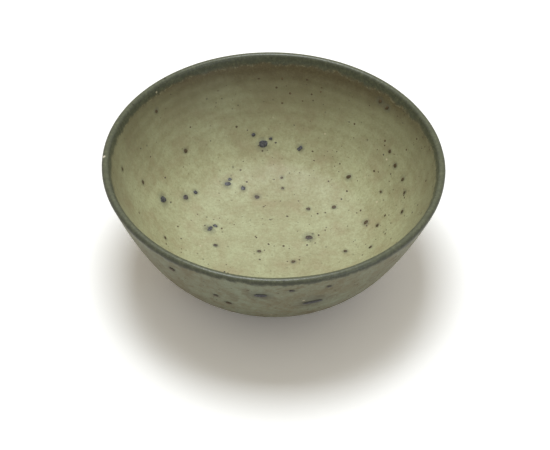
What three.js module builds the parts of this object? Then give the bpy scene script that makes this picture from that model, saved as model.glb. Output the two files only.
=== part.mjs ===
// A wheel-thrown stoneware tea bowl on a trimmed foot ring: a matt ash-green glaze inside and
// outside, and an iron-dark glaze over the lip. Millimetres, +Z up. The origin is the centre of
// the foot ring's underside, on the surface that the bowl stands on.
import * as THREE from "three";

// Whole bowl
const rimRadius = 70; // at the widest of the lip
const bowlHeight = 60; // from the table to the top of the lip

// Outer wall, one curve from the top of the foot to the lip
const bellyReach = 17.5; // how far the wall keeps the angle that it leaves the foot at
const bellyRiseDegrees = 12; // that angle, above level
const lipReach = 50.2; // how far down the wall keeps the lean of the lip
const lipLeanDegrees = 17.8; // that lean, from upright

// Wall and floor
const lipWidth = 3.4; // across the rounded lip
const lowWallWidth = 5.4; // where the wall runs into the floor
const floorWidth = 5; // clay and glaze together at the centre
const floorTurn = 24; // from the foot up the wall to where the floor's curve begins
const floorLevelShare = 0.5; // how much of the floor is near level, of what the wall's slope leaves

// Foot ring and the trimmed hollow inside it
const footRadius = 25; // outside, at the joint with the wall
const footHeight = 6;
const footWidth = 5.6; // across the ring at its top
const footDraft = 0.7; // how much each side of the ring draws in on its way down
const footEdge = 0.7; // rounding of the two edges that the bowl stands between
const wellRise = 0.9; // dome of the trimmed underside above the top of the ring
const nubRadius = 5; // the small turned point left at the centre of the underside
const nubDrop = 1.1;

// Glazes
const glazeWidth = 0.5; // thickness of the glaze coats
const bareWidth = 5; // bare clay between the foot and the edge of the outside glaze
const beadWidth = 2.4; // the thick rolled edge in which the outside glaze ends
const beadHeight = 0.45;
const outerBandDepth = 4; // iron glaze below the lip, outside
const innerBandDepth = 3.5; // and inside

// Facets
const segmentsAround = 56;
const outerWallSteps = 9;
const lipSteps = 6;
const innerWallSteps = 7;
const floorSteps = 6;
const wellSteps = 4;

const lipRadius = lipWidth / 2;
const lipLean = THREE.MathUtils.degToRad(lipLeanDegrees);
const bellyRise = THREE.MathUtils.degToRad(bellyRiseDegrees);
const footInnerRadius = footRadius - footWidth;
const lipCentre = new THREE.Vector2(rimRadius - lipRadius, bowlHeight - lipRadius);
const floorTop = footHeight + wellRise + floorWidth;

// A point on the section, from its radius and height.
function at(radius, height) {
  return new THREE.Vector2(radius, height);
}

// A unit direction on the section, at an angle above level.
function heading(angle) {
  return new THREE.Vector2(Math.cos(angle), Math.sin(angle));
}

// Equal steps from one value to another, both ends included.
function steps(from, to, count) {
  return Array.from({ length: count + 1 }, (_, i) => from + ((to - from) * i) / count);
}

// The direction out of the wall, to the right of the way that the curve runs.
function outOf(tangent) {
  return new THREE.Vector2(tangent.y, -tangent.x);
}

// One place on the section: the skin that is seen, and the clay under the glaze there.
function layer(skin, outward) {
  return { skin, clay: skin.clone().addScaledVector(outward, -glazeWidth) };
}

function outerWallCurve() {
  const lipSide = lipCentre.clone().addScaledVector(heading(-lipLean), lipRadius);
  const start = at(footRadius, footHeight);
  const low = start.clone().addScaledVector(heading(bellyRise), bellyReach);
  const high = lipSide.clone().addScaledVector(heading(Math.PI / 2 - lipLean), -lipReach);
  return new THREE.CubicBezierCurve(start, low, high, lipSide);
}

const outerWall = outerWallCurve();
const wallLength = outerWall.getLength();

// The outer wall at a distance from the foot, measured along the wall.
function outsideAt(distance) {
  const share = distance / wallLength;
  const outward = outOf(outerWall.getTangentAt(share));
  const pastBare = (distance - bareWidth) / beadWidth;
  const bead = pastBare > 0 && pastBare < 1 ? beadHeight * Math.sin(Math.PI * pastBare) : 0;
  const place = layer(outerWall.getPointAt(share), outward);
  place.skin.addScaledVector(outward, bead);
  return place;
}

// The inside of the same wall, at the wall's thickness behind that place.
function insideAt(distance) {
  const share = distance / wallLength;
  const outward = outOf(outerWall.getTangentAt(share));
  const towardsLip = THREE.MathUtils.smoothstep(distance, floorTurn, wallLength);
  const width = THREE.MathUtils.lerp(lowWallWidth, lipWidth, towardsLip);
  const skin = outerWall.getPointAt(share).addScaledVector(outward, -width);
  return layer(skin, outward.clone().negate());
}

function lipAt(angle) {
  const outward = heading(angle);
  return layer(lipCentre.clone().addScaledVector(outward, lipRadius), outward);
}

// The floor, one curve from the foot of the inner wall to the axis.
function floorPlaces() {
  const rimSide = insideAt(floorTurn).skin;
  const before = insideAt(floorTurn + 1).skin;
  const downhill = rimSide.clone().sub(before).normalize();
  const centre = at(0, floorTop);
  const outer = rimSide.clone().addScaledVector(downhill, (floorTop - rimSide.y) / downhill.y);
  const inner = at(outer.x * floorLevelShare, floorTop);
  const curve = new THREE.CubicBezierCurve(rimSide, outer, inner, centre);
  const places = steps(0, 1, floorSteps).slice(1, -1).map((share) => {
    return layer(curve.getPoint(share), outOf(curve.getTangent(share)));
  });
  places.push({ skin: centre, clay: at(0, floorTop - glazeWidth) });
  return places;
}

// The stretches of the section, in order from the foot, over the lip, to the centre of the floor.
const bareStretch = [0, bareWidth / 2, bareWidth].map(outsideAt);
const outerStretch = [
  ...steps(bareWidth, bareWidth + beadWidth, 4),
  ...steps(bareWidth + beadWidth, wallLength - outerBandDepth, outerWallSteps).slice(1),
].map(outsideAt);
const lipStretch = [
  ...steps(wallLength - outerBandDepth, wallLength, 2).slice(0, -1).map(outsideAt),
  ...steps(-lipLean, Math.PI - lipLean, lipSteps).map(lipAt),
  ...steps(wallLength, wallLength - innerBandDepth, 2).slice(1).map(insideAt),
];
const innerStretch = [
  ...steps(wallLength - innerBandDepth, floorTurn, innerWallSteps).map(insideAt),
  ...floorPlaces(),
];

const skinOf = (places) => places.map((place) => place.skin);
const clayOf = (places) => places.map((place) => place.clay);

// The trimmed underside inside the foot ring, from the turned point at the centre to the ring.
function wellProfile() {
  const wellTop = footHeight + wellRise;
  const dome = new THREE.QuadraticBezierCurve(
    at(nubRadius, wellTop),
    at((nubRadius + footInnerRadius) / 2, wellTop),
    at(footInnerRadius, footHeight),
  );
  const nub = new THREE.CubicBezierCurve(
    at(0, wellTop - nubDrop),
    at(nubRadius / 2, wellTop - nubDrop),
    at(nubRadius / 2, wellTop),
    at(nubRadius, wellTop),
  );
  return [...nub.getPoints(wellSteps), ...dome.getPoints(wellSteps).slice(1)];
}

function clayProfile() {
  return [
    ...wellProfile(),
    at(footRadius, footHeight),
    ...clayOf(bareStretch),
    ...clayOf(outerStretch).slice(1),
    ...clayOf(lipStretch).slice(1),
    ...clayOf(innerStretch).slice(1),
  ];
}

// A quarter turn round a foot edge, between two headings in degrees.
function edgeTurn(radius, fromDegrees, toDegrees) {
  const centre = at(radius, footEdge);
  return steps(fromDegrees, toDegrees, 3).map((degrees) => {
    return centre.clone().addScaledVector(heading(THREE.MathUtils.degToRad(degrees)), footEdge);
  });
}

function footProfile() {
  const outerEdge = edgeTurn(footRadius - footDraft - footEdge, -90, 0);
  const innerEdge = edgeTurn(footInnerRadius + footDraft + footEdge, 180, 270);
  return [
    ...outerEdge,
    at(footRadius, footHeight),
    at(footInnerRadius, footHeight),
    ...innerEdge,
    outerEdge[0].clone(),
  ];
}

// A coat of glaze over a stretch of the section that ends at both sides of its own.
function coatProfile(places) {
  return [...skinOf(places), ...clayOf(places).reverse(), places[0].skin.clone()];
}

// The inside coat runs across the whole floor, so its section begins and ends on the axis.
function innerCoatProfile() {
  return [...clayOf(innerStretch).reverse(), ...skinOf(innerStretch)];
}

function turned(name, profile, colour, roughness) {
  const geometry = new THREE.LatheGeometry(profile, segmentsAround);
  geometry.rotateX(Math.PI / 2);
  const material = new THREE.MeshStandardMaterial({ color: colour, roughness, metalness: 0 });
  const mesh = new THREE.Mesh(geometry, material);
  mesh.name = name;
  return mesh;
}

const bowl = new THREE.Group();
bowl.add(
  turned("clay_body", clayProfile(), 0x86705a, 0.9),
  turned("foot_ring", footProfile(), 0x7d664f, 0.92),
  turned("inside_glaze", innerCoatProfile(), 0xa2a37b, 0.55),
  turned("outside_glaze", coatProfile(outerStretch), 0x6f715a, 0.55),
  turned("rim_glaze", coatProfile(lipStretch), 0x4c4e3f, 0.5),
);

export default bowl;
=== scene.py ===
"""A hand-thrown stoneware tea bowl in matt ash-green glaze, on its trimmed foot ring."""
import math
from bisect import bisect_right

import bpy
from mathutils import Matrix, Vector
from mathutils.geometry import interpolate_bezier


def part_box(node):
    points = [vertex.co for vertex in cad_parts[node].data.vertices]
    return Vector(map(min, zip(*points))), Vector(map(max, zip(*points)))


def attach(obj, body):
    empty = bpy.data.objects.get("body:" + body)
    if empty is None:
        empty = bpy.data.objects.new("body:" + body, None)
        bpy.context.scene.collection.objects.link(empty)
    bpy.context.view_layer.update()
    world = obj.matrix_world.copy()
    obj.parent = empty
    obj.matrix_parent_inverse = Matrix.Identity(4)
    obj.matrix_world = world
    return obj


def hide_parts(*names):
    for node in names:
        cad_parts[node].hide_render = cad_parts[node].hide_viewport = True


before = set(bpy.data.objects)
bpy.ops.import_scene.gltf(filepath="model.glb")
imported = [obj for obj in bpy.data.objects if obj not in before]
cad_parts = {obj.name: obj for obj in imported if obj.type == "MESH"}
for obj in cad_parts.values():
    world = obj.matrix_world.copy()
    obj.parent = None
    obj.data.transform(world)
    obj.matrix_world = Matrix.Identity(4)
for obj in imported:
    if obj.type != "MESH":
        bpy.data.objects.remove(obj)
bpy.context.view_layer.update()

bl_info = {
    "name": "Stoneware Tea Bowl",
    "version": (1, 0, 0),
    "blender": (4, 5, 0),
    "location": "View3D > Sidebar > Tea Bowl",
    "description": "Turns, glazes and lights a stoneware tea bowl",
    "category": "Add Mesh",
}

MM = 0.001
BODY = "root"
FOOT_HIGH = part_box("foot_ring")[1]
LIP_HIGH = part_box("rim_glaze")[1]


class BowlSizes(bpy.types.PropertyGroup):
    """Sizes of the bowl, in metres."""

    rim_radius: bpy.props.FloatProperty(
        name="Rim radius", description="Outside of the lip", default=LIP_HIGH.x, unit="LENGTH")
    height: bpy.props.FloatProperty(
        name="Height", description="From the table to the lip", default=LIP_HIGH.z, unit="LENGTH")
    foot_radius: bpy.props.FloatProperty(
        name="Foot radius", description="Outside of the foot ring", default=FOOT_HIGH.x, unit="LENGTH")
    foot_height: bpy.props.FloatProperty(
        name="Foot height", description="Height of the foot ring", default=FOOT_HIGH.z, unit="LENGTH")
    foot_width: bpy.props.FloatProperty(
        name="Foot width", description="Across the ring at its top", default=5.6 * MM, unit="LENGTH")
    lip_width: bpy.props.FloatProperty(
        name="Lip width", description="Across the rounded lip", default=3.4 * MM, unit="LENGTH")
    low_wall_width: bpy.props.FloatProperty(
        name="Low wall", description="Wall where it meets the floor", default=5.4 * MM, unit="LENGTH")
    floor_width: bpy.props.FloatProperty(
        name="Floor", description="Floor at its centre", default=5.0 * MM, unit="LENGTH")
    glaze_width: bpy.props.FloatProperty(
        name="Glaze", description="Thickness of the coats", default=0.5 * MM, unit="LENGTH")
    ring_pitch: bpy.props.FloatProperty(
        name="Throwing rings", description="Climb of the finger marks in one turn",
        default=4.4 * MM, unit="LENGTH")
    ring_depth: bpy.props.FloatProperty(
        name="Ring depth", description="Depth of the finger marks", default=0.04 * MM, unit="LENGTH")
    segments: bpy.props.IntProperty(
        name="Segments", description="Facets round the bowl", default=256, min=64, max=512)


def colour_of(name, description, default):
    """A colour that the panel's settings hold as an sRGB hex value."""
    return bpy.props.StringProperty(name=name, description=description, default=default)


class BowlColours(bpy.types.PropertyGroup):
    """Colours of the glazes, the clay and the stage, as sRGB hex values."""

    inside: colour_of("Inside glaze", "Ash glaze where it lies thick", "BEC19B")
    inside_warm: colour_of("Inside, thin", "Ash glaze where the clay warms it", "A9A580")
    pink: colour_of("Pink cast", "Faint patches inside where the clay blushes through", "AF9F80")
    # Painted shade: a darker colour high on the inner wall, stronger towards its back.
    painted_upper_shade: colour_of("Smoke", "Darker glaze high on the inner wall", "6A664C")
    # Brown below the lip inside: partly the glaze's own colour, partly painted shade, as it is stronger
    # towards the back.
    lip_brown_and_shade: colour_of("Blush", "Brown below the lip, inside", "544A32")
    outside: colour_of("Outside glaze", "The same glaze outside", "959D87")
    outside_warm: colour_of("Outside, thin", "Outside glaze where it runs thin", "827C63")
    blotch: colour_of("Blotches", "Brown patches outside", "6B5C42")
    # Painted shade: a darker brown low on the outer wall, towards the foot.
    painted_low_shade: colour_of("Towards the foot", "Brown cast low on the outer wall", "62573F")
    sand: colour_of("Sand", "Fine grain of the clay seen through the glaze", "7C7553")
    grit: colour_of("Grit", "Single pale grains", "D8CDB0")
    speck: colour_of("Specks", "Iron that bleeds through the glaze", "2B241C")
    halo: colour_of("Halo", "Dull glaze round an iron spot", "5A5B50")
    iron: colour_of("Iron", "Iron glaze over the lip", "4A4E40")
    # Lighter iron on the lip: rubbed wear in random patches, and a painted highlight along the crest.
    rubbed_iron_and_highlight: colour_of("Iron, rubbed", "Iron glaze where the lip is rubbed", "777B60")
    sandy_line: colour_of("Sandy line", "Dry glaze where the iron band ends", "B3AB8C")
    # A small pale spot on the lip, at one place.
    pale_lip_spot: colour_of("Chip", "Clay bared by a small chip in the lip", "D9D2C0")
    blue_dark: colour_of("Blue spot, dark", "Heart of a blue-grey iron spot", "3B3B40")
    blue_pale: colour_of("Blue spot, pale", "Bloom on a blue-grey iron spot", "67676D")
    brown_dark: colour_of("Brown spot, dark", "Heart of a brown iron spot", "4A3C28")
    brown_pale: colour_of("Brown spot, pale", "Bloom on a brown iron spot", "665539")
    clay: colour_of("Clay", "Bare fired stoneware", "8A6F57")
    clay_dark: colour_of("Clay, dark", "Bare stoneware between its grains", "6F573F")
    paper: colour_of("Paper", "The floor, as it throws light back", "DEDCD8")
    room: colour_of("Room light", "Light from all round", "FFF6E6")
    softbox: colour_of("Softbox", "The large light overhead", "F4FAFF")
    window: colour_of("Window", "The weak light from the front right", "D8E8FF")


def linear(hex_colour):
    """sRGB hex to a linear colour with alpha."""
    values = [int(hex_colour[i:i + 2], 16) / 255 for i in (0, 2, 4)]
    return [v / 12.92 if v <= 0.04045 else ((v + 0.055) / 1.055) ** 2.4 for v in values] + [1.0]


def node(tree, kind, inputs=(), **settings):
    """Adds a node, sets its properties, and fills or links its inputs."""
    made = tree.nodes.new(kind)
    for name, value in settings.items():
        setattr(made, name, value)
    for key, value in dict(inputs).items():
        if isinstance(value, bpy.types.NodeSocket):
            tree.links.new(value, made.inputs[key])
        else:
            made.inputs[key].default_value = value
    return made


# The section of the bowl

LIP_LEAN = math.radians(17.8)
BELLY_RISE = math.radians(12)
BELLY_REACH = 17.5 * MM
LIP_REACH = 50.2 * MM
BARE_WIDTH = 5 * MM
BEAD_WIDTH = 2.4 * MM
BEAD_HEIGHT = 0.45 * MM
OUTER_BAND = 4 * MM
INNER_BAND = 3.5 * MM
FLOOR_TURN = 24 * MM
FLOOR_LEVEL_SHARE = 0.5
WELL_RISE = 0.9 * MM
NUB_RADIUS = 5 * MM
NUB_DROP = 1.1 * MM
FOOT_DRAFT = 0.7 * MM
FOOT_EDGE = 0.7 * MM
STEP = 0.8 * MM  # between rows along the wall
BEAD_STEP = 0.2 * MM  # and across the rolled edge
LIP_TURNS = 24  # rows round the lip, less one
NUB_POINTS = 16
DOME_POINTS = 20
EDGE_TURNS = 6
SIDE_ROWS = 8
CURVE_SAMPLES = 800
UNEVENNESS = 0.25 * MM  # how far the glazed skin strays
CLAY_UNEVENNESS = 0.1 * MM
FOOT_UNEVENNESS = 0.15 * MM
TOOL_MARKS = 0.05 * MM  # depth of the trimming tool's rings in the clay
UNEVENNESS_SIZE = 22 * MM
HALO_REACH = 2.6  # times the half width of a spot
SHARP_EDGE = math.radians(50)
# Centre of a small pale spot on the lip.
PALE_SPOT_PLACE = (-68.8 * MM, -3.3 * MM, 59.4 * MM)


def heading(angle):
    """A unit direction on the section, at an angle above level."""
    return Vector((math.cos(angle), math.sin(angle)))


def spread(start, end, step=STEP):
    """Even distances from start to end, about a step apart."""
    count = max(2, round(abs(end - start) / step))
    return [start + (end - start) * i / count for i in range(count + 1)]


def along_bezier(points):
    """A function that gives place and direction at a distance along a cubic curve."""
    dense = interpolate_bezier(*points, CURVE_SAMPLES)
    total = [0.0]
    for a, b in zip(dense, dense[1:]):
        total.append(total[-1] + (b - a).length)

    def place(distance):
        i = min(max(bisect_right(total, distance) - 1, 0), len(total) - 2)
        share = (distance - total[i]) / (total[i + 1] - total[i])
        return dense[i].lerp(dense[i + 1], share), (dense[i + 1] - dense[i]).normalized()

    return place, total[-1]


class Section:
    """The half section: radius and height of the skin, and the way out of it."""

    def __init__(self, sizes):
        self.sizes = sizes
        self.lip_radius = sizes.lip_width / 2
        self.lip_centre = Vector((sizes.rim_radius - self.lip_radius, sizes.height - self.lip_radius))
        side = self.lip_centre + heading(-LIP_LEAN) * self.lip_radius
        start = Vector((sizes.foot_radius, sizes.foot_height))
        low = start + heading(BELLY_RISE) * BELLY_REACH
        high = side - heading(math.pi / 2 - LIP_LEAN) * LIP_REACH
        self.wall, self.length = along_bezier((start, low, high, side))
        self.floor_top = sizes.foot_height + WELL_RISE + sizes.floor_width

    def outside(self, distance):
        """Skin, way out and underside of the glaze at a distance up the outer wall."""
        point, direction = self.wall(distance)
        outward = Vector((direction.y, -direction.x))
        past = (distance - BARE_WIDTH) / BEAD_WIDTH
        bead = BEAD_HEIGHT * math.sin(math.pi * past) if 0 < past < 1 else 0
        return point + outward * bead, outward, point - outward * self.sizes.glaze_width

    def inside(self, distance):
        """The same for the inner wall, behind that place."""
        point, direction = self.wall(distance)
        outward = Vector((direction.y, -direction.x))
        share = (distance - FLOOR_TURN) / (self.length - FLOOR_TURN)
        smooth = share * share * (3 - 2 * share)
        width = self.sizes.low_wall_width * (1 - smooth) + self.sizes.lip_width * smooth
        skin = point - outward * width
        return skin, -outward, skin + outward * self.sizes.glaze_width

    def lip(self, angle):
        """The same for the rounded lip."""
        outward = heading(angle)
        under = self.lip_centre + outward * (self.lip_radius - self.sizes.glaze_width)
        return self.lip_centre + outward * self.lip_radius, outward, under

    def floor(self):
        """Rows from the foot of the inner wall to the centre of the floor."""
        glaze = self.sizes.glaze_width
        rim_side = self.inside(FLOOR_TURN)[0]
        downhill = (rim_side - self.inside(FLOOR_TURN + MM)[0]).normalized()
        centre = Vector((0, self.floor_top))
        outer = rim_side + downhill * ((self.floor_top - rim_side.y) / downhill.y)
        inner = Vector((outer.x * FLOOR_LEVEL_SHARE, self.floor_top))
        place, length = along_bezier((rim_side, outer, inner, centre))
        rows = []
        for distance in spread(0, length)[1:-1]:
            point, direction = place(distance)
            outward = Vector((direction.y, -direction.x))
            rows.append((point, outward, point - outward * glaze))
        rows.append((centre, Vector((0, 1)), centre - Vector((0, glaze))))
        return rows

    def outer_rows(self):
        edge = spread(BARE_WIDTH, BARE_WIDTH + BEAD_WIDTH, BEAD_STEP)
        wall = spread(BARE_WIDTH + BEAD_WIDTH, self.length - OUTER_BAND)
        return [self.outside(d) for d in edge + wall[1:]]

    def lip_rows(self):
        turn = [-LIP_LEAN + math.pi * i / LIP_TURNS for i in range(LIP_TURNS + 1)]
        rise = spread(self.length - OUTER_BAND, self.length)[:-1]
        fall = spread(self.length, self.length - INNER_BAND)[1:]
        return ([self.outside(d) for d in rise] + [self.lip(a) for a in turn]
                + [self.inside(d) for d in fall])

    def inner_rows(self):
        wall = spread(self.length - INNER_BAND, FLOOR_TURN)
        return [self.inside(d) for d in wall] + self.floor()


def section_object(name, rows):
    """Rows of (radius and height, way out, share of relief) as points that a tree can read."""
    mesh = bpy.data.meshes.new(name)
    mesh.from_pydata([(point.x, 0, point.y) for point, _, _ in rows], [], [])
    mesh.attributes.new("way_out", "FLOAT_VECTOR", "POINT")
    mesh.attributes.new("skin", "FLOAT", "POINT")
    ways = [value for _, outward, _ in rows for value in (outward.x, 0, outward.y)]
    mesh.attributes["way_out"].data.foreach_set("vector", ways)
    mesh.attributes["skin"].data.foreach_set("value", [share for _, _, share in rows])
    return bpy.data.objects.new(name, mesh)


def coat_rows(rows, closed):
    """A coat of glaze: its skin, then its underside back to where it began."""
    skin = [(point, outward, 1.0) for point, outward, _ in rows]
    under = [(low, outward, 0.0) for _, outward, low in rows]
    if closed:
        return skin + under[::-1] + skin[:1]
    return under[::-1] + skin


# Iron that bleeds through the glaze

SPOT_THICKNESS = 0.1 * MM
SPOT_RAGGEDNESS = 1.5 * MM
SPECK_THICKNESS = 0.06 * MM
SPECK_SMALLEST = 0.16 * MM
SPECK_LARGEST = 0.7 * MM
SPECKS_PER_SQUARE_METRE = 34000.0

# The largest iron spots, chosen from the photo: degrees round from the right-hand side,
# millimetres from the axis inside or above the table outside, width in millimetres, length as a
# share of the width, turn in degrees and tone from 0, blue-grey, to 1, brown.
INNER_SPOTS = (
    (96, 48.5, 3.9, 0.8, 20, 0.0), (101, 51.0, 1.6, 0.8, 0, 0.2), (92, 50.0, 1.5, 0.8, 0, 0.2),
    (76, 48.0, 2.4, 0.7, 30, 0.2), (124, 36.5, 2.9, 0.7, 10, 0.0), (121, 38.0, 1.5, 0.9, 0, 0.1),
    (115, 31.8, 2.2, 0.8, 0, 0.1), (106, 25.7, 2.3, 0.8, 0, 0.5), (168, 48.7, 3.5, 0.8, 40, 0.0),
    (155, 42.4, 2.7, 0.8, 0, 0.4), (147, 40.7, 2.0, 0.8, 0, 0.3), (172, 27.0, 3.2, 0.5, 60, 0.1),
    (167, 25.5, 2.0, 0.6, 140, 0.1), (3, 15.7, 3.2, 0.7, 0, 0.5), (9, 40.7, 2.4, 0.7, 60, 0.6),
    (2, 45.3, 1.5, 0.9, 0, 0.7), (49, 24.0, 1.7, 0.9, 0, 0.7), (34, 33.0, 1.7, 0.9, 0, 0.7),
    (43, 45.7, 2.2, 0.7, 0, 0.6), (82, 30.0, 1.3, 0.9, 0, 0.8), (84, 36.0, 1.5, 0.9, 0, 0.8),
    (237, 10.0, 1.5, 0.9, 0, 0.8), (345, 33.0, 1.6, 0.8, 0, 0.7), (347, 43.0, 1.6, 0.8, 0, 0.8),
    (304, 16.7, 1.6, 0.9, 0, 0.6), (194, 25.0, 1.7, 0.8, 0, 0.5), (193, 46.0, 1.6, 0.9, 0, 0.8),
    (171, 56.0, 1.7, 0.8, 0, 0.7), (138, 52.7, 1.7, 0.8, 0, 0.7), (144, 63.6, 1.7, 0.8, 0, 0.7),
    (178, 62.8, 1.6, 0.8, 0, 0.8), (45, 64.5, 2.4, 0.6, 20, 0.8), (41, 64.3, 2.2, 0.6, 0, 0.8),
    (23, 56.7, 2.0, 0.8, 0, 0.7), (14, 56.8, 2.0, 0.7, 0, 0.7), (7, 56.0, 1.7, 0.8, 0, 0.7),
    (358, 54.5, 1.8, 0.8, 0, 0.7), (20, 50.0, 1.3, 0.9, 0, 0.8), (30, 58.0, 1.3, 0.9, 0, 0.8),
)
OUTER_SPOTS = (
    (285, 39.5, 7.9, 0.3, 20, 0.1), (267, 49.0, 5.1, 0.5, 0, 0.2), (277, 53.0, 2.2, 0.7, 0, 0.4),
    (251, 41.0, 2.0, 0.8, 0, 0.5), (255, 36.0, 2.4, 0.8, 0, 0.9), (236, 50.0, 2.7, 0.8, 0, 0.9),
    (289, 52.5, 1.8, 0.8, 0, 0.4), (30, 38.0, 3.7, 0.6, 10, 0.3), (95, 33.0, 4.9, 0.5, 30, 0.2),
    (140, 44.0, 2.7, 0.8, 0, 0.6), (190, 36.0, 3.9, 0.6, 70, 0.3), (60, 48.0, 2.2, 0.8, 0, 0.7),
)


def spot_points(name, spots, rows, by_height):
    """The spots as points on the skin, with the way out and the sizes that a tree can read."""
    places, ways, values = [], [], []
    key = 1 if by_height else 0
    for degrees, where, width, length, turn, tone in spots:
        point, outward, _ = min(rows, key=lambda row: abs(row[0][key] - where * MM))
        angle = math.radians(degrees)
        places.append((point.x * math.cos(angle), point.x * math.sin(angle), point.y))
        ways += [outward.x * math.cos(angle), outward.x * math.sin(angle), outward.y]
        values.append((width / 2 * MM, length, math.radians(turn), tone))
    mesh = bpy.data.meshes.new(name)
    mesh.from_pydata(places, [], [])
    mesh.attributes.new("way_out", "FLOAT_VECTOR", "POINT")
    mesh.attributes["way_out"].data.foreach_set("vector", ways)
    for i, label in enumerate(("reach", "length", "turn", "tone")):
        mesh.attributes.new(label, "FLOAT", "POINT")
        mesh.attributes[label].data.foreach_set("value", [value[i] for value in values])
    points = bpy.data.objects.new(name, mesh)
    bpy.context.scene.collection.objects.link(points)
    return points


def spots_tree():
    """Lays a flat, ragged blister of iron on the skin at each point."""
    tree = bpy.data.node_groups.new("Iron spots", "GeometryNodeTree")
    tree.is_modifier = True
    for name, kind in (("Points", "NodeSocketObject"), ("Thickness", "NodeSocketFloat"),
                       ("Raggedness", "NodeSocketFloat"), ("Material", "NodeSocketMaterial")):
        tree.interface.new_socket(name, in_out="INPUT", socket_type=kind)
    tree.interface.new_socket("Geometry", in_out="OUTPUT", socket_type="NodeSocketGeometry")
    given = node(tree, "NodeGroupInput").outputs
    points = node(tree, "GeometryNodeObjectInfo", {"Object": given["Points"]}).outputs["Geometry"]
    points = node(tree, "GeometryNodeMeshToPoints", {"Mesh": points}).outputs[0]
    way = node(tree, "GeometryNodeInputNamedAttribute", {"Name": "way_out"},
               data_type="FLOAT_VECTOR").outputs[0]
    read = {}
    for label in ("reach", "length", "turn"):
        read[label] = node(tree, "GeometryNodeInputNamedAttribute", {"Name": label},
                           data_type="FLOAT").outputs[0]
    stand = node(tree, "FunctionNodeAlignRotationToVector", {"Vector": way}, axis="Z").outputs[0]
    about = node(tree, "FunctionNodeAxisAngleToRotation", {"Axis": (0, 0, 1), "Angle": read["turn"]})
    stand = node(tree, "FunctionNodeRotateRotation", {"Rotation": stand, "Rotate By": about.outputs[0]},
                 rotation_space="LOCAL").outputs[0]
    narrow = node(tree, "ShaderNodeMath", {0: read["reach"], 1: read["length"]},
                  operation="MULTIPLY").outputs[0]
    size = node(tree, "ShaderNodeCombineXYZ", {0: read["reach"], 1: narrow, 2: given["Thickness"]})
    ball = node(tree, "GeometryNodeMeshIcoSphere", {"Radius": 1.0, "Subdivisions": 3})
    blister = node(tree, "GeometryNodeInstanceOnPoints", {
        "Points": points, "Instance": ball.outputs[0], "Rotation": stand, "Scale": size.outputs[0]})
    shape = node(tree, "GeometryNodeRealizeInstances", {"Geometry": blister.outputs[0]})
    spot = node(tree, "GeometryNodeInputPosition").outputs[0]
    ragged = node(tree, "ShaderNodeTexNoise", {
        "Vector": spot, "Scale": 1 / (1.0 * MM), "Detail": 3.0}).outputs["Color"]
    ragged = node(tree, "ShaderNodeVectorMath", {0: ragged, 1: (0.5, 0.5, 0.5)},
                  operation="SUBTRACT").outputs[0]
    across = node(tree, "ShaderNodeVectorMath", {0: ragged, 1: way}, operation="PROJECT").outputs[0]
    ragged = node(tree, "ShaderNodeVectorMath", {0: ragged, 1: across}, operation="SUBTRACT").outputs[0]
    ragged = node(tree, "ShaderNodeVectorMath", {0: ragged, "Scale": given["Raggedness"]},
                  operation="SCALE").outputs[0]
    shape = node(tree, "GeometryNodeSetPosition", {"Geometry": shape.outputs[0], "Offset": ragged})
    shape = node(tree, "GeometryNodeSetShadeSmooth", {"Geometry": shape.outputs[0]})
    shape = node(tree, "GeometryNodeSetMaterial", {
        "Geometry": shape.outputs[0], "Material": given["Material"]})
    node(tree, "NodeGroupOutput", {0: shape.outputs[0]})
    return tree


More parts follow.
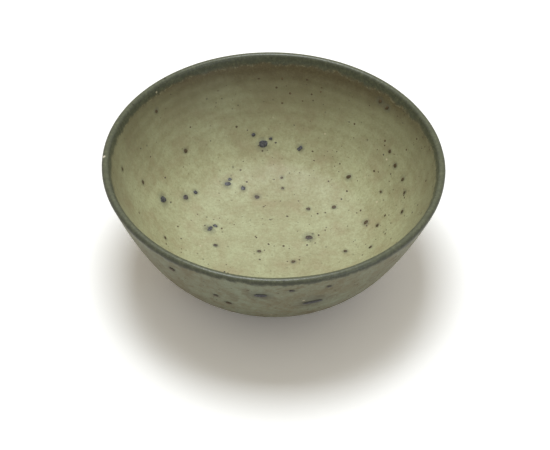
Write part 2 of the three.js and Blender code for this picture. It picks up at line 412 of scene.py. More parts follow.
def specks_tree():
    """Scatters small iron specks over the skin, more of them towards one side."""
    tree = bpy.data.node_groups.new("Scattered specks", "GeometryNodeTree")
    tree.is_modifier = True
    for name, kind in (("Surface", "NodeSocketObject"), ("Faces up", "NodeSocketFloat"),
                       ("Per square metre", "NodeSocketFloat"), ("Smallest", "NodeSocketFloat"),
                       ("Largest", "NodeSocketFloat"), ("Thickness", "NodeSocketFloat"),
                       ("Material", "NodeSocketMaterial")):
        tree.interface.new_socket(name, in_out="INPUT", socket_type=kind)
    tree.interface.new_socket("Geometry", in_out="OUTPUT", socket_type="NodeSocketGeometry")
    given = node(tree, "NodeGroupInput").outputs
    surface = node(tree, "GeometryNodeObjectInfo", {"Object": given["Surface"]}).outputs["Geometry"]
    normal = node(tree, "GeometryNodeInputNormal").outputs[0]
    tilt = node(tree, "ShaderNodeSeparateXYZ", {0: normal}).outputs[2]
    tilt = node(tree, "ShaderNodeMath", {0: tilt, 1: given["Faces up"]}, operation="MULTIPLY").outputs[0]
    skin = node(tree, "FunctionNodeCompare", {0: tilt, 1: 0.12}, data_type="FLOAT",
                operation="GREATER_THAN").outputs[0]
    spot = node(tree, "GeometryNodeInputPosition").outputs[0]
    aside = node(tree, "ShaderNodeSeparateXYZ", {0: spot}).outputs[0]
    share = node(tree, "ShaderNodeMath", {0: aside, 1: 5.5, 2: 0.55}, operation="MULTIPLY_ADD",
                 use_clamp=True).outputs[0]
    density = node(tree, "ShaderNodeMath", {0: share, 1: given["Per square metre"]},
                   operation="MULTIPLY").outputs[0]
    points = node(tree, "GeometryNodeDistributePointsOnFaces", {
        "Mesh": surface, "Selection": skin, "Density": density, "Seed": 7})
    luck = node(tree, "FunctionNodeRandomValue", {2: 0.0, 3: 1.0, "Seed": 11},
                data_type="FLOAT").outputs[1]
    luck = node(tree, "ShaderNodeMath", {0: luck, 1: 1.9}, operation="POWER").outputs[0]
    reach = node(tree, "ShaderNodeMapRange", {
        "Value": luck, "To Min": given["Smallest"], "To Max": given["Largest"]}).outputs[0]
    slim = node(tree, "FunctionNodeRandomValue", {2: 0.55, 3: 1.0, "Seed": 13},
                data_type="FLOAT").outputs[1]
    slim = node(tree, "ShaderNodeMath", {0: reach, 1: slim}, operation="MULTIPLY").outputs[0]
    size = node(tree, "ShaderNodeCombineXYZ", {0: reach, 1: slim, 2: given["Thickness"]})
    tone = node(tree, "FunctionNodeRandomValue", {2: 0.45, 3: 1.0, "Seed": 17},
                data_type="FLOAT").outputs[1]
    marked = node(tree, "GeometryNodeStoreNamedAttribute", {
        "Geometry": points.outputs["Points"], "Name": "tone", "Value": tone},
        data_type="FLOAT", domain="POINT")
    bead = node(tree, "GeometryNodeMeshIcoSphere", {"Radius": 1.0, "Subdivisions": 1})
    specks = node(tree, "GeometryNodeInstanceOnPoints", {
        "Points": marked.outputs[0], "Instance": bead.outputs[0],
        "Rotation": points.outputs["Rotation"], "Scale": size.outputs[0]})
    shape = node(tree, "GeometryNodeRealizeInstances", {"Geometry": specks.outputs[0]})
    shape = node(tree, "GeometryNodeSetShadeSmooth", {"Geometry": shape.outputs[0]})
    shape = node(tree, "GeometryNodeSetMaterial", {
        "Geometry": shape.outputs[0], "Material": given["Material"]})
    node(tree, "NodeGroupOutput", {0: shape.outputs[0]})
    return tree


def iron_spot_material():
    """Iron that has boiled up through the glaze: blue-grey or brown, with a paler bloom."""
    colours = bpy.context.scene.bowl_colours
    material = bpy.data.materials.new("Iron bled through glaze")
    material.use_nodes = True
    tree = material.node_tree
    tree.nodes.clear()
    tone = node(tree, "ShaderNodeAttribute", attribute_name="tone").outputs["Fac"]
    place = node(tree, "ShaderNodeTexCoord").outputs["Object"]
    grain = node(tree, "ShaderNodeTexNoise", {
        "Vector": place, "Scale": 1 / (0.7 * MM), "Detail": 4.0}).outputs[0]
    pale = node(tree, "ShaderNodeMapRange", {
        "Value": grain, "From Min": 0.44, "From Max": 0.66}).outputs[0]
    blue = node(tree, "ShaderNodeMix", {
        "Factor": pale, 6: linear(colours.blue_dark), 7: linear(colours.blue_pale)},
        data_type="RGBA").outputs[2]
    brown = node(tree, "ShaderNodeMix", {
        "Factor": pale, 6: linear(colours.brown_dark), 7: linear(colours.brown_pale)},
        data_type="RGBA").outputs[2]
    share = node(tree, "ShaderNodeMapRange", {
        "Value": tone, "From Min": 0.3, "From Max": 0.6}).outputs[0]
    colour = node(tree, "ShaderNodeMix", {
        "Factor": share, 6: blue, 7: brown}, data_type="RGBA").outputs[2]
    shader = node(tree, "ShaderNodeBsdfPrincipled", {
        "Base Color": colour, "Roughness": 0.5, "IOR": 1.6})
    node(tree, "ShaderNodeOutputMaterial", {0: shader.outputs[0]})
    return material


def turned_tree():
    """Turns a section round the axis, with finger marks and the unevenness of a thrown pot."""
    tree = bpy.data.node_groups.new("Turned on the wheel", "GeometryNodeTree")
    tree.is_modifier = True
    for name, kind in (
            ("Section", "NodeSocketObject"), ("Rows", "NodeSocketInt"), ("Segments", "NodeSocketInt"),
            ("Ring depth", "NodeSocketFloat"), ("Ring pitch", "NodeSocketFloat"),
            ("Unevenness", "NodeSocketFloat"), ("Unevenness size", "NodeSocketFloat"),
            ("Spots", "NodeSocketObject"), ("Material", "NodeSocketMaterial")):
        tree.interface.new_socket(name, in_out="INPUT", socket_type=kind)
    tree.interface.new_socket("Geometry", in_out="OUTPUT", socket_type="NodeSocketGeometry")
    given = node(tree, "NodeGroupInput").outputs
    columns = node(tree, "ShaderNodeMath", {0: given["Segments"], 1: 1.0}).outputs[0]
    grid = node(tree, "GeometryNodeMeshGrid", {
        "Size X": 1.0, "Size Y": 1.0, "Vertices X": columns, "Vertices Y": given["Rows"]})
    spot = node(tree, "GeometryNodeInputPosition").outputs[0]
    spot = node(tree, "ShaderNodeSeparateXYZ", {0: spot}).outputs
    turn = node(tree, "ShaderNodeMath", {0: spot[0], 1: math.tau, 2: math.pi},
                operation="MULTIPLY_ADD").outputs[0]
    last = node(tree, "ShaderNodeMath", {0: given["Rows"], 1: 1.0}, operation="SUBTRACT").outputs[0]
    share = node(tree, "ShaderNodeMath", {0: spot[1], 1: 0.5}).outputs[0]
    row = node(tree, "ShaderNodeMath", {0: share, 1: last}, operation="MULTIPLY").outputs[0]
    row = node(tree, "FunctionNodeFloatToInt", {0: row}, rounding_mode="ROUND").outputs[0]
    section = node(tree, "GeometryNodeObjectInfo", {"Object": given["Section"]}).outputs["Geometry"]
    place = node(tree, "GeometryNodeInputPosition").outputs[0]
    way = node(tree, "GeometryNodeInputNamedAttribute", {"Name": "way_out"},
               data_type="FLOAT_VECTOR").outputs[0]
    skin = node(tree, "GeometryNodeInputNamedAttribute", {"Name": "skin"},
                data_type="FLOAT").outputs[0]
    read = {}
    for name, value, kind in (("place", place, "FLOAT_VECTOR"), ("way", way, "FLOAT_VECTOR"),
                              ("skin", skin, "FLOAT")):
        read[name] = node(tree, "GeometryNodeSampleIndex",
                          {"Geometry": section, "Value": value, "Index": row},
                          data_type=kind, domain="POINT").outputs[0]
    base = node(tree, "ShaderNodeVectorRotate", {"Vector": read["place"], "Angle": turn},
                rotation_type="Z_AXIS").outputs[0]
    outward = node(tree, "ShaderNodeVectorRotate", {"Vector": read["way"], "Angle": turn},
                   rotation_type="Z_AXIS").outputs[0]
    grain = node(tree, "ShaderNodeMath", {0: 1.0, 1: given["Unevenness size"]},
                 operation="DIVIDE").outputs[0]
    drift = node(tree, "ShaderNodeTexNoise", {"Vector": base, "Scale": grain, "Detail": 3.0}).outputs[0]
    height = node(tree, "ShaderNodeSeparateXYZ", {0: base}).outputs[2]
    climb = node(tree, "ShaderNodeMath", {0: height, 1: given["Ring pitch"]},
                 operation="DIVIDE").outputs[0]
    phase = node(tree, "ShaderNodeMath", {0: drift, 1: 1.3, 2: climb},
                 operation="MULTIPLY_ADD").outputs[0]
    phase = node(tree, "ShaderNodeMath", {0: phase, 1: math.tau, 2: turn},
                 operation="MULTIPLY_ADD").outputs[0]
    wave = node(tree, "ShaderNodeMath", {0: phase}, operation="SINE").outputs[0]
    wave = node(tree, "ShaderNodeMath", {0: wave, 1: -1.0}).outputs[0]
    ring = node(tree, "ShaderNodeMath", {0: wave, 1: given["Ring depth"]},
                operation="MULTIPLY").outputs[0]
    sag = node(tree, "ShaderNodeMath", {0: drift, 1: -0.9}).outputs[0]
    relief = node(tree, "ShaderNodeMath", {0: sag, 1: given["Unevenness"], 2: ring},
                  operation="MULTIPLY_ADD").outputs[0]
    relief = node(tree, "ShaderNodeMath", {0: relief, 1: read["skin"]}, operation="MULTIPLY").outputs[0]
    shift = node(tree, "ShaderNodeVectorMath", {0: outward, "Scale": relief},
                 operation="SCALE").outputs[0]
    seat = node(tree, "ShaderNodeVectorMath", {0: base, 1: shift}, operation="ADD").outputs[0]
    shape = node(tree, "GeometryNodeSetPosition", {"Geometry": grid.outputs[0], "Position": seat})
    spots = node(tree, "GeometryNodeObjectInfo", {"Object": given["Spots"]}).outputs["Geometry"]
    here = node(tree, "GeometryNodeInputPosition").outputs[0]
    nearest = node(tree, "GeometryNodeSampleNearest", {"Geometry": spots, "Sample Position": here},
                   domain="POINT").outputs[0]
    middle = node(tree, "GeometryNodeSampleIndex", {"Geometry": spots, "Value": here, "Index": nearest},
                  data_type="FLOAT_VECTOR", domain="POINT").outputs[0]
    reach = node(tree, "GeometryNodeInputNamedAttribute", {"Name": "reach"},
                 data_type="FLOAT").outputs[0]
    reach = node(tree, "GeometryNodeSampleIndex", {"Geometry": spots, "Value": reach, "Index": nearest},
                 data_type="FLOAT", domain="POINT").outputs[0]
    away = node(tree, "ShaderNodeVectorMath", {0: here, 1: middle},
                operation="DISTANCE").outputs["Value"]
    fade = node(tree, "ShaderNodeMath", {0: reach, 1: HALO_REACH, 2: 1e-6},
                operation="MULTIPLY_ADD").outputs[0]
    away = node(tree, "ShaderNodeMath", {0: away, 1: fade}, operation="DIVIDE").outputs[0]
    halo = node(tree, "ShaderNodeMath", {0: 1.0, 1: away}, operation="SUBTRACT", use_clamp=True)
    shape = node(tree, "GeometryNodeStoreNamedAttribute", {
        "Geometry": shape.outputs[0], "Name": "halo", "Value": halo.outputs[0]},
        data_type="FLOAT", domain="POINT")
    shape = node(tree, "GeometryNodeMergeByDistance", {"Geometry": shape.outputs[0], "Distance": 2e-6})
    shape = node(tree, "GeometryNodeSetShadeSmooth", {"Geometry": shape.outputs[0]})
    shape = node(tree, "GeometryNodeRealizeInstances", {"Geometry": shape.outputs[0]})
    shape = node(tree, "GeometryNodeSetMaterial", {
        "Geometry": shape.outputs[0], "Material": given["Material"]})
    node(tree, "NodeGroupOutput", {0: shape.outputs[0]})
    return tree


def from_tree(name, tree, values):
    """Runs a tree once and keeps its result as a plain mesh."""
    maker = bpy.data.objects.new(name, bpy.data.meshes.new(name))
    bpy.context.scene.collection.objects.link(maker)
    modifier = maker.modifiers.new("Shape", "NODES")
    modifier.node_group = tree
    for item in tree.interface.items_tree:
        if item.item_type == "SOCKET" and item.in_out == "INPUT" and item.name in values:
            modifier[item.identifier] = values[item.name]
    graph = bpy.context.evaluated_depsgraph_get()
    mesh = bpy.data.meshes.new_from_object(maker.evaluated_get(graph), depsgraph=graph)
    maker.modifiers.remove(modifier)
    maker.data = mesh
    mesh.name = name
    if not mesh.polygons:
        raise RuntimeError(f"{name}: the tree made no faces")
    mesh.set_sharp_from_angle(angle=SHARP_EDGE)
    return maker


def turned_piece(name, rows, material, replaced, ring_depth, unevenness, spots=None):
    """Turns one piece of the bowl and puts it in its node's place."""
    sizes = bpy.context.scene.bowl_sizes
    section = section_object(f"{name}_section", rows)
    bpy.context.scene.collection.objects.link(section)
    tree = bpy.data.node_groups.get("Turned on the wheel") or turned_tree()
    piece = from_tree(name, tree, {
        "Section": section, "Rows": len(rows), "Segments": sizes.segments,
        "Ring depth": ring_depth, "Ring pitch": sizes.ring_pitch,
        "Unevenness": unevenness, "Unevenness size": UNEVENNESS_SIZE, "Spots": spots,
        "Material": material})
    bpy.data.objects.remove(section)
    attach(piece, BODY)
    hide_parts(replaced)


# The glazes and the clay

def inside_ash(tree, place, xyz, cloud, mottle, thin):
    """The ash glaze inside: pinkish in places, painted shade high on the wall and towards its back, and
    brown below the lip that is partly painted shade.
    """
    colours = bpy.context.scene.bowl_colours
    colour = node(tree, "ShaderNodeMix", {
        "Factor": thin, 6: linear(colours.inside), 7: linear(colours.inside_warm)},
        data_type="RGBA").outputs[2]
    pink = node(tree, "ShaderNodeTexNoise", {
        "Vector": place, "Scale": 1 / (13 * MM), "Detail": 5.0, "Roughness": 0.65}).outputs[0]
    pink = node(tree, "ShaderNodeMapRange", {
        "Value": pink, "From Min": 0.5, "From Max": 0.72, "To Max": 0.45}).outputs[0]
    colour = node(tree, "ShaderNodeMix", {
        "Factor": pink, 6: colour, 7: linear(colours.pink)}, data_type="RGBA").outputs[2]
    # Height, raised towards the back of the bowl; it places the painted shade high on the inner wall and
    # towards its back.
    height_towards_shaded_back = node(tree, "ShaderNodeMath", {0: xyz[1], 1: 0.2, 2: xyz[2]},
                     operation="MULTIPLY_ADD").outputs[0]
    height_towards_shaded_back = node(tree, "ShaderNodeMath", {0: xyz[0], 1: 0.02, 2: height_towards_shaded_back},
                     operation="MULTIPLY_ADD").outputs[0]
    # Painted shade: darker high on the inner wall and towards its back.
    painted_upper_shade = node(tree, "ShaderNodeMath", {0: cloud, 1: 14 * MM, 2: height_towards_shaded_back},
                 operation="MULTIPLY_ADD").outputs[0]
    painted_upper_shade = node(tree, "ShaderNodeMapRange", {
        "Value": painted_upper_shade, "From Min": 34 * MM, "From Max": 66 * MM, "To Max": 0.82}).outputs[0]
    colour = node(tree, "ShaderNodeMix", {
        "Factor": painted_upper_shade, 6: colour, 7: linear(colours.painted_upper_shade)}, data_type="RGBA").outputs[2]
    # Brown below the lip, partly the glaze's colour and partly painted shade, stronger towards the back.
    lip_brown_and_shade = node(tree, "ShaderNodeMath", {0: mottle, 1: 7 * MM, 2: height_towards_shaded_back},
                 operation="MULTIPLY_ADD").outputs[0]
    lip_brown_and_shade = node(tree, "ShaderNodeMapRange", {
        "Value": lip_brown_and_shade, "From Min": 60 * MM, "From Max": 71 * MM, "To Max": 0.9},
        interpolation_type="SMOOTHSTEP").outputs[0]
    return node(tree, "ShaderNodeMix", {
        "Factor": lip_brown_and_shade, 6: colour, 7: linear(colours.lip_brown_and_shade)}, data_type="RGBA").outputs[2]


def outside_ash(tree, place, xyz, thin):
    """The ash glaze outside: cooler, with brown blotches, and painted shade low down as a darker brown
    towards the foot.
    """
    colours = bpy.context.scene.bowl_colours
    colour = node(tree, "ShaderNodeMix", {
        "Factor": thin, 6: linear(colours.outside), 7: linear(colours.outside_warm)},
        data_type="RGBA").outputs[2]
    blotch = node(tree, "ShaderNodeTexNoise", {
        "Vector": place, "Scale": 1 / (6 * MM), "Detail": 4.0, "Roughness": 0.6,
        "Distortion": 0.6}).outputs[0]
    blotch = node(tree, "ShaderNodeMapRange", {
        "Value": blotch, "From Min": 0.56, "From Max": 0.72, "To Max": 0.6}).outputs[0]
    colour = node(tree, "ShaderNodeMix", {
        "Factor": blotch, 6: colour, 7: linear(colours.blotch)}, data_type="RGBA").outputs[2]
    # Painted shade: darker brown low on the outer wall, towards the foot.
    low = node(tree, "ShaderNodeMapRange", {
        "Value": xyz[2], "From Min": 34 * MM, "From Max": 14 * MM, "To Max": 0.6}).outputs[0]
    return node(tree, "ShaderNodeMix", {
        "Factor": low, 6: colour, 7: linear(colours.painted_low_shade)}, data_type="RGBA").outputs[2]


def both_sides(tree, place, inside, outside):
    """The inside colour on faces that look at the axis, and the outside colour on the others."""
    normal = node(tree, "ShaderNodeNewGeometry").outputs["Normal"]
    level = node(tree, "ShaderNodeVectorMath", {0: place, 1: (1.0, 1.0, 0.0)},
                 operation="MULTIPLY").outputs[0]
    radial = node(tree, "ShaderNodeVectorMath", {0: level}, operation="NORMALIZE").outputs[0]
    facing = node(tree, "ShaderNodeVectorMath", {0: normal, 1: radial},
                  operation="DOT_PRODUCT").outputs["Value"]
    facing = node(tree, "ShaderNodeMapRange", {
        "Value": facing, "From Min": -0.3, "From Max": 0.3}).outputs[0]
    return node(tree, "ShaderNodeMix", {"Factor": facing, 6: inside, 7: outside},
                data_type="RGBA").outputs[2]


def iron_band(tree, place, xyz, ash):
    """Iron over the lip, with a ragged edge, a dry sandy line there, rubbed wear and a painted highlight
    along the crest.

    Gives the colour, and where the iron is.
    """
    colours = bpy.context.scene.bowl_colours
    edge = node(tree, "ShaderNodeTexNoise", {
        "Vector": place, "Scale": 1 / (7 * MM), "Detail": 6.0, "Roughness": 0.75}).outputs[0]
    edge = node(tree, "ShaderNodeMath", {0: edge, 1: 7 * MM, 2: xyz[2]},
                operation="MULTIPLY_ADD").outputs[0]
    edge = node(tree, "ShaderNodeMath", {0: xyz[1], 1: 0.012, 2: edge},
                operation="MULTIPLY_ADD").outputs[0]
    band = node(tree, "ShaderNodeMapRange", {
        "Value": edge, "From Min": 59.0 * MM, "From Max": 61.2 * MM},
        interpolation_type="SMOOTHSTEP").outputs[0]
    rub = node(tree, "ShaderNodeTexNoise", {
        "Vector": place, "Scale": 1 / (1.4 * MM), "Detail": 5.0, "Roughness": 0.75}).outputs[0]
    rub = node(tree, "ShaderNodeMapRange", {
        "Value": rub, "From Min": 0.46, "From Max": 0.72, "To Max": 0.55}).outputs[0]
    # Painted highlight: lighter along the crest of the lip, added to the random rubbed wear.
    crest_highlight = node(tree, "ShaderNodeMapRange", {
        "Value": xyz[2], "From Min": 59.25 * MM, "From Max": 59.85 * MM}).outputs[0]
    wear_and_highlight = node(tree, "ShaderNodeMath", {0: crest_highlight, 1: 0.3, 2: rub}, operation="MULTIPLY_ADD",
                use_clamp=True).outputs[0]
    iron = node(tree, "ShaderNodeMix", {
        "Factor": wear_and_highlight, 6: linear(colours.iron), 7: linear(colours.rubbed_iron_and_highlight)},
        data_type="RGBA").outputs[2]
    colour = node(tree, "ShaderNodeMix", {"Factor": band, 6: ash, 7: iron},
                  data_type="RGBA").outputs[2]
    line = node(tree, "ShaderNodeMath", {0: band, 1: -0.3}, operation="ADD").outputs[0]
    line = node(tree, "ShaderNodeMath", {0: line}, operation="ABSOLUTE").outputs[0]
    line = node(tree, "ShaderNodeMapRange", {
        "Value": line, "From Min": 0.0, "From Max": 0.3, "To Min": 1.0, "To Max": 0.0}).outputs[0]
    line = node(tree, "ShaderNodeMath", {0: line, 1: rub}, operation="MULTIPLY").outputs[0]
    colour = node(tree, "ShaderNodeMix", {
        "Factor": line, 6: colour, 7: linear(colours.sandy_line)}, data_type="RGBA").outputs[2]
    return colour, band


def grit_and_specks(tree, place, colour):
    """Single pale grains, then small specks of iron in two sizes."""
    colours = bpy.context.scene.bowl_colours
    grit = node(tree, "ShaderNodeTexVoronoi", {"Vector": place, "Scale": 1 / (7 * MM)})
    chance = node(tree, "ShaderNodeSeparateColor", {0: grit.outputs["Color"]}).outputs[1]
    chance = node(tree, "ShaderNodeMapRange", {
        "Value": chance, "From Min": 0.7, "From Max": 1.0, "To Max": 0.1}).outputs[0]
    pale = node(tree, "ShaderNodeMath", {0: chance, 1: grit.outputs["Distance"]},
                operation="SUBTRACT").outputs[0]
    pale = node(tree, "ShaderNodeMapRange", {
        "Value": pale, "From Min": -0.01, "From Max": 0.04, "To Max": 0.7}).outputs[0]
    colour = node(tree, "ShaderNodeMix", {
        "Factor": pale, 6: colour, 7: linear(colours.grit)}, data_type="RGBA").outputs[2]
    for cell, reach, share in ((2.4 * MM, 0.2, 3.0), (6 * MM, 0.13, 2.0)):
        found = node(tree, "ShaderNodeTexVoronoi", {"Vector": place, "Scale": 1 / cell})
        chance = node(tree, "ShaderNodeSeparateColor", {0: found.outputs["Color"]}).outputs[0]
        size = node(tree, "ShaderNodeMath", {0: chance, 1: share}, operation="POWER").outputs[0]
        size = node(tree, "ShaderNodeMath", {0: size, 1: reach}, operation="MULTIPLY").outputs[0]
        inner = node(tree, "ShaderNodeMath", {0: size, 1: found.outputs["Distance"]},
                     operation="SUBTRACT").outputs[0]
        speck = node(tree, "ShaderNodeMapRange", {
            "Value": inner, "From Min": -0.02, "From Max": 0.08, "To Max": 0.6}).outputs[0]
        colour = node(tree, "ShaderNodeMix", {
            "Factor": speck, 6: colour, 7: linear(colours.speck)}, data_type="RGBA").outputs[2]
    return colour


def glaze_material(name, side):
    """Matt ash glaze over iron-bearing stoneware; side is 0 inside, 1 outside, None for both.

    It pools pale green, warms to brown where it runs thin, breaks to iron over the lip,
    and iron from the clay bleeds through as specks.
    """
    colours = bpy.context.scene.bowl_colours
    material = bpy.data.materials.new(name)
    material.use_nodes = True
    tree = material.node_tree
    tree.nodes.clear()
    place = node(tree, "ShaderNodeTexCoord").outputs["Object"]
    xyz = node(tree, "ShaderNodeSeparateXYZ", {0: place}).outputs
    cloud = node(tree, "ShaderNodeTexNoise", {
        "Vector": place, "Scale": 1 / (26 * MM), "Detail": 4.0, "Roughness": 0.6}).outputs[0]
    mottle = node(tree, "ShaderNodeTexNoise", {
        "Vector": place, "Scale": 1 / (5 * MM), "Detail": 6.0, "Roughness": 0.65}).outputs[0]
    fine = node(tree, "ShaderNodeTexNoise", {
        "Vector": place, "Scale": 1 / (1.5 * MM), "Detail": 3.0, "Roughness": 0.7}).outputs[0]
    thin = node(tree, "ShaderNodeMath", {0: cloud, 1: mottle}, operation="ADD").outputs[0]
    thin = node(tree, "ShaderNodeMath", {0: fine, 1: 0.8, 2: thin}, operation="MULTIPLY_ADD").outputs[0]
    thin = node(tree, "ShaderNodeMapRange", {
        "Value": thin, "From Min": 1.16, "From Max": 1.66}).outputs[0]
    if side == 0:
        ash = inside_ash(tree, place, xyz, cloud, mottle, thin)
    elif side == 1:
        ash = outside_ash(tree, place, xyz, thin)
    else:
        ash = both_sides(tree, place, inside_ash(tree, place, xyz, cloud, mottle, thin),
                         outside_ash(tree, place, xyz, thin))
    sand = node(tree, "ShaderNodeTexNoise", {
        "Vector": place, "Scale": 1 / (0.9 * MM), "Detail": 3.0, "Roughness": 0.65}).outputs[0]
    sand = node(tree, "ShaderNodeMapRange", {
        "Value": sand, "From Min": 0.48, "From Max": 0.72, "To Max": 0.34}).outputs[0]
    ash = node(tree, "ShaderNodeMix", {
        "Factor": sand, 6: ash, 7: linear(colours.sand)}, data_type="RGBA").outputs[2]
    colour, band = iron_band(tree, place, xyz, ash)
    if side is None:
        # A small pale spot on the lip, at one place.
        pale_lip_spot = node(tree, "ShaderNodeVectorMath", {0: place, 1: PALE_SPOT_PLACE},
                    operation="DISTANCE").outputs["Value"]
        pale_lip_spot = node(tree, "ShaderNodeMapRange", {
            "Value": pale_lip_spot, "From Min": 0.8 * MM, "From Max": 0.5 * MM}).outputs[0]
        colour = node(tree, "ShaderNodeMix", {
            "Factor": pale_lip_spot, 6: colour, 7: linear(colours.pale_lip_spot)}, data_type="RGBA").outputs[2]
    halo = node(tree, "ShaderNodeAttribute", attribute_name="halo").outputs["Fac"]
    halo = node(tree, "ShaderNodeMath", {0: halo, 1: mottle}, operation="MULTIPLY").outputs[0]
    halo = node(tree, "ShaderNodeMapRange", {
        "Value": halo, "From Min": 0.05, "From Max": 0.5, "To Max": 0.75}).outputs[0]
    colour = node(tree, "ShaderNodeMix", {
        "Factor": halo, 6: colour, 7: linear(colours.halo)}, data_type="RGBA").outputs[2]
    colour = grit_and_specks(tree, place, colour)
    skin = node(tree, "ShaderNodeTexNoise", {
        "Vector": place, "Scale": 1 / (1.6 * MM), "Detail": 6.0, "Roughness": 0.6}).outputs[0]
    bump = node(tree, "ShaderNodeBump", {"Height": skin, "Strength": 0.35, "Distance": 0.35 * MM})
    rough = node(tree, "ShaderNodeMapRange", {
        "Value": mottle, "From Min": 0.3, "From Max": 0.7, "To Min": 0.48, "To Max": 0.6}).outputs[0]
    rough = node(tree, "ShaderNodeMath", {0: band, 1: -0.2, 2: rough},
                 operation="MULTIPLY_ADD").outputs[0]
    shader = node(tree, "ShaderNodeBsdfPrincipled", {
        "Base Color": colour, "Roughness": rough, "IOR": 1.5, "Normal": bump.outputs[0]})
    node(tree, "ShaderNodeOutputMaterial", {0: shader.outputs[0]})
    return material


def clay_material():
    """Bare fired stoneware: dry, warm brown, with sandy grit that the trimming tool dragged."""
    colours = bpy.context.scene.bowl_colours
    material = bpy.data.materials.new("Bare stoneware, trimmed")
    material.use_nodes = True
    tree = material.node_tree
    tree.nodes.clear()
    place = node(tree, "ShaderNodeTexCoord").outputs["Object"]
    sand = node(tree, "ShaderNodeTexNoise", {
        "Vector": place, "Scale": 1 / (0.9 * MM), "Detail": 6.0, "Roughness": 0.7}).outputs[0]
    tone = node(tree, "ShaderNodeMapRange", {"Value": sand, "From Min": 0.35, "From Max": 0.65}).outputs[0]
    colour = node(tree, "ShaderNodeMix", {
        "Factor": tone, 6: linear(colours.clay_dark), 7: linear(colours.clay)}, data_type="RGBA").outputs[2]
    bump = node(tree, "ShaderNodeBump", {"Height": sand, "Strength": 0.6, "Distance": 0.4 * MM})
    shader = node(tree, "ShaderNodeBsdfPrincipled", {
        "Base Color": colour, "Roughness": 0.9, "IOR": 1.5, "Normal": bump.outputs[0]})
    node(tree, "ShaderNodeOutputMaterial", {0: shader.outputs[0]})
    return material


class MakeCoats(bpy.types.Operator):
    """Lays the three coats of glaze over the bowl"""

    bl_idname = "bowl.make_coats"
    bl_label = "Glaze coats"

    def execute(self, context):
        sizes = context.scene.bowl_sizes
        section = Section(sizes)
        inner = spot_points("inner_points", INNER_SPOTS, section.inner_rows(), False)
        outer = spot_points("outer_points", OUTER_SPOTS, section.outer_rows(), True)
        turned_piece("inside_coat", coat_rows(section.inner_rows(), False),
                     glaze_material("Matt ash glaze, inside", 0),
                     "inside_glaze", sizes.ring_depth, UNEVENNESS, inner)
        turned_piece("outside_coat", coat_rows(section.outer_rows(), True),
                     glaze_material("Matt ash glaze, outside", 1),
                     "outside_glaze", sizes.ring_depth, UNEVENNESS, outer)
        turned_piece("lip_coat", coat_rows(section.lip_rows(), True),
                     glaze_material("Iron glaze over the lip", None),
                     "rim_glaze", sizes.ring_depth, UNEVENNESS)
        bpy.data.objects.remove(inner)
        bpy.data.objects.remove(outer)
        return {"FINISHED"}


class MakeClay(bpy.types.Operator):
    """Turns the clay wall with its trimmed underside, and the foot ring"""

    bl_idname = "bowl.make_clay"
    bl_label = "Clay body and foot"

    def execute(self, context):
        sizes = context.scene.bowl_sizes
        section = Section(sizes)
        clay = clay_material()
        inner = sizes.foot_radius - sizes.foot_width
        top = sizes.foot_height + WELL_RISE
        nub = interpolate_bezier(
            Vector((0, top - NUB_DROP)), Vector((NUB_RADIUS / 2, top - NUB_DROP)),
            Vector((NUB_RADIUS / 2, top)), Vector((NUB_RADIUS, top)), NUB_POINTS)
        middle = Vector(((NUB_RADIUS + inner) / 2, top))
        edge = Vector((inner, sizes.foot_height))
        dome = interpolate_bezier(
            Vector((NUB_RADIUS, top)), Vector((NUB_RADIUS, top)).lerp(middle, 2 / 3),
            edge.lerp(middle, 2 / 3), edge, DOME_POINTS)
        down = Vector((0, -1))
        rows = [(p.to_2d(), down, 1.0) for p in nub + dome[1:-1]]
        rows += [(edge, down, 0.0), (Vector((sizes.foot_radius, sizes.foot_height)), down, 0.0)]
        for distance in spread(0, BARE_WIDTH):
            _, outward, under = section.outside(distance)
            rows.append((under, outward, 0.0))
        hidden = section.outer_rows()[1:] + section.lip_rows()[1:] + section.inner_rows()[1:]
        rows += [(under, outward, 0.0) for _, outward, under in hidden]
        turned_piece("clay_wall", rows, clay, "clay_body", TOOL_MARKS,
                     CLAY_UNEVENNESS)
        outer_edge = Vector((sizes.foot_radius - FOOT_DRAFT - FOOT_EDGE, FOOT_EDGE))
        inner_edge = Vector((inner + FOOT_DRAFT + FOOT_EDGE, FOOT_EDGE))
        turn = [math.pi / 2 * i / EDGE_TURNS for i in range(EDGE_TURNS + 1)]
        outer_ways = [heading(angle - math.pi / 2) for angle in turn]
        inner_ways = [heading(angle + math.pi) for angle in turn]
        ring = [(outer_edge + way * FOOT_EDGE, way, 0.0) for way in outer_ways]
        start, end = ring[-1][0], Vector((sizes.foot_radius, sizes.foot_height))
        shares = [i / SIDE_ROWS for i in range(1, SIDE_ROWS)]
        ring += [(start.lerp(end, share), Vector((1, 0)), 1.0) for share in shares]
        ring += [(end, Vector((1, 0)), 0.0), (edge, Vector((-1, 0)), 0.0)]
        last = [(inner_edge + way * FOOT_EDGE, way, 0.0) for way in inner_ways]
        ring += [(edge.lerp(last[0][0], share), Vector((-1, 0)), 1.0) for share in shares]
        ring += last + ring[:1]
        turned_piece("foot", ring, clay, "foot_ring", TOOL_MARKS, FOOT_UNEVENNESS)
        return {"FINISHED"}


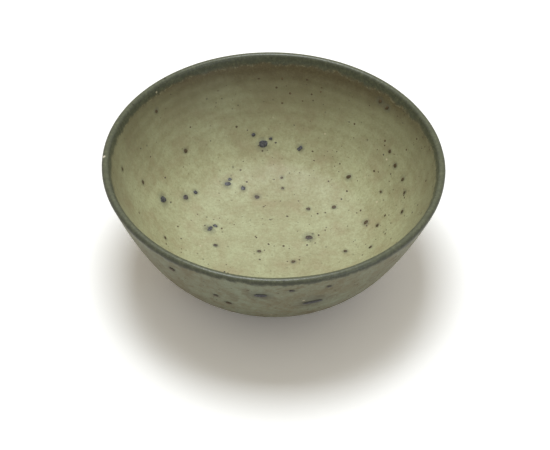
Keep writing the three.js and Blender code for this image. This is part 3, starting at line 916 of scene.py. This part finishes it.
class MakeSpots(bpy.types.Operator):
    """Sets iron spots on the skin of the coats and scatters specks over them"""

    bl_idname = "bowl.make_spots"
    bl_label = "Iron spots"

    def execute(self, context):
        section = Section(context.scene.bowl_sizes)
        material = iron_spot_material()
        tree = spots_tree()
        for name, spots, rows, by_height, slot in (
                ("inside_spots", INNER_SPOTS, section.inner_rows(), False, "inside_glaze"),
                ("outside_spots", OUTER_SPOTS, section.outer_rows(), True, "outside_glaze")):
            points = spot_points(f"{name}_points", spots, rows, by_height)
            piece = from_tree(name, tree, {
                "Points": points, "Thickness": SPOT_THICKNESS, "Raggedness": SPOT_RAGGEDNESS,
                "Material": material})
            bpy.data.objects.remove(points)
            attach(piece, BODY)
        scatter = specks_tree()
        for name, surface, faces_up, slot in (
                ("inside_specks", "inside_coat", 1.0, "inside_glaze"),
                ("outside_specks", "outside_coat", -1.0, "outside_glaze")):
            piece = from_tree(name, scatter, {
                "Surface": bpy.data.objects[surface], "Faces up": faces_up,
                "Per square metre": SPECKS_PER_SQUARE_METRE, "Smallest": SPECK_SMALLEST,
                "Largest": SPECK_LARGEST, "Thickness": SPECK_THICKNESS, "Material": material})
            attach(piece, BODY)
        return {"FINISHED"}


class MakeStage(bpy.types.Operator):
    """Sets the bowl on a white floor under soft light, seen as in the photograph"""

    bl_idname = "bowl.make_stage"
    bl_label = "Floor, light and camera"

    def execute(self, context):
        scene = context.scene
        colours = scene.bowl_colours
        floor_mesh = bpy.data.meshes.new("floor")
        half = 3.0
        corners = [(-half, -half, 0), (half, -half, 0), (half, half, 0), (-half, half, 0)]
        floor_mesh.from_pydata(corners, [], [(0, 1, 2, 3)])
        floor = bpy.data.objects.new("floor", floor_mesh)
        scene.collection.objects.link(floor)
        material = bpy.data.materials.new("White paper sweep")
        material.use_nodes = True
        tree = material.node_tree
        tree.nodes.clear()
        seen = node(tree, "ShaderNodeLightPath").outputs["Is Camera Ray"]
        bleached = [1.25, 1.25, 1.25, 1.0]
        colour = node(tree, "ShaderNodeMix", {"Factor": seen, 6: linear(colours.paper), 7: bleached},
                      data_type="RGBA").outputs[2]
        shader = node(tree, "ShaderNodeBsdfDiffuse", {"Color": colour})
        node(tree, "ShaderNodeOutputMaterial", {0: shader.outputs[0]})
        floor_mesh.materials.append(material)

        world = bpy.data.worlds.new("Soft room light")
        world.use_nodes = True
        tree = world.node_tree
        tree.nodes.clear()
        seen = node(tree, "ShaderNodeLightPath").outputs["Is Camera Ray"]
        strength = node(tree, "ShaderNodeMapRange", {
            "Value": seen, "To Min": 0.45, "To Max": 1.3}).outputs[0]
        room = node(tree, "ShaderNodeBackground", {0: linear(colours.room), 1: strength})
        node(tree, "ShaderNodeOutputWorld", {0: room.outputs[0]})
        scene.world = world

        reach = 1.0
        back = math.radians(7)
        left = math.radians(3)
        light = bpy.data.lights.new("softbox", "AREA")
        light.shape = "RECTANGLE"
        light.size = 0.4
        light.size_y = 0.4
        light.energy = 6.2
        light.color = linear(colours.softbox)[:3]
        softbox = bpy.data.objects.new("softbox", light)
        scene.collection.objects.link(softbox)
        softbox.location = (-reach * math.sin(left), reach * math.sin(back), reach * math.cos(back))
        softbox.rotation_euler = (-back, -left, 0)

        window = bpy.data.lights.new("window", "AREA")
        window.size = 0.3
        window.energy = 0.6
        window.color = linear(colours.window)[:3]
        fill = bpy.data.objects.new("window", window)
        scene.collection.objects.link(fill)
        fill.location = (0.55, -0.5, 0.3)
        fill.rotation_euler = (-fill.location).to_track_quat("-Z", "Y").to_euler()

        elevation = math.radians(45)
        roll = math.radians(-1.6)
        distance = 0.56
        aside = 1.2 * MM
        above = 14.06 * MM
        focal_pixels = 1272
        image_width = 550
        right = Vector((1, 0, 0))
        up = Vector((0, math.sin(elevation), math.cos(elevation)))
        ahead = Vector((0, math.cos(elevation), -math.sin(elevation)))
        across = right * math.cos(roll) - up * math.sin(roll)
        upright = right * math.sin(roll) + up * math.cos(roll)
        camera_data = bpy.data.cameras.new("camera")
        camera_data.sensor_width = 36
        camera_data.lens = focal_pixels / image_width * camera_data.sensor_width
        camera = bpy.data.objects.new("camera", camera_data)
        scene.collection.objects.link(camera)
        camera.matrix_world = Matrix.Translation(right * aside + up * above - ahead * distance) @ Matrix(
            (across, upright, -ahead)).transposed().to_4x4()
        scene.camera = camera
        scene.view_settings.view_transform = "Standard"
        return {"FINISHED"}


class BowlPanel(bpy.types.Panel):
    """Lists the steps that make the bowl"""

    bl_idname = "VIEW3D_PT_tea_bowl"
    bl_label = "Tea Bowl"
    bl_space_type = "VIEW_3D"
    bl_region_type = "UI"
    bl_category = "Tea Bowl"

    def draw(self, context):
        for operator in (MakeClay, MakeCoats, MakeSpots, MakeStage):
            self.layout.operator(operator.bl_idname)


CLASSES = (BowlSizes, BowlColours, MakeClay, MakeCoats, MakeSpots, MakeStage, BowlPanel)


def register():
    for cls in CLASSES:
        bpy.utils.register_class(cls)
    bpy.types.Scene.bowl_sizes = bpy.props.PointerProperty(type=BowlSizes)
    bpy.types.Scene.bowl_colours = bpy.props.PointerProperty(type=BowlColours)


def unregister():
    del bpy.types.Scene.bowl_colours
    del bpy.types.Scene.bowl_sizes
    for cls in reversed(CLASSES):
        bpy.utils.unregister_class(cls)


def main():
    register()
    bpy.ops.bowl.make_clay()
    bpy.ops.bowl.make_coats()
    bpy.ops.bowl.make_spots()
    bpy.ops.bowl.make_stage()


if __name__ == "__main__":
    main()
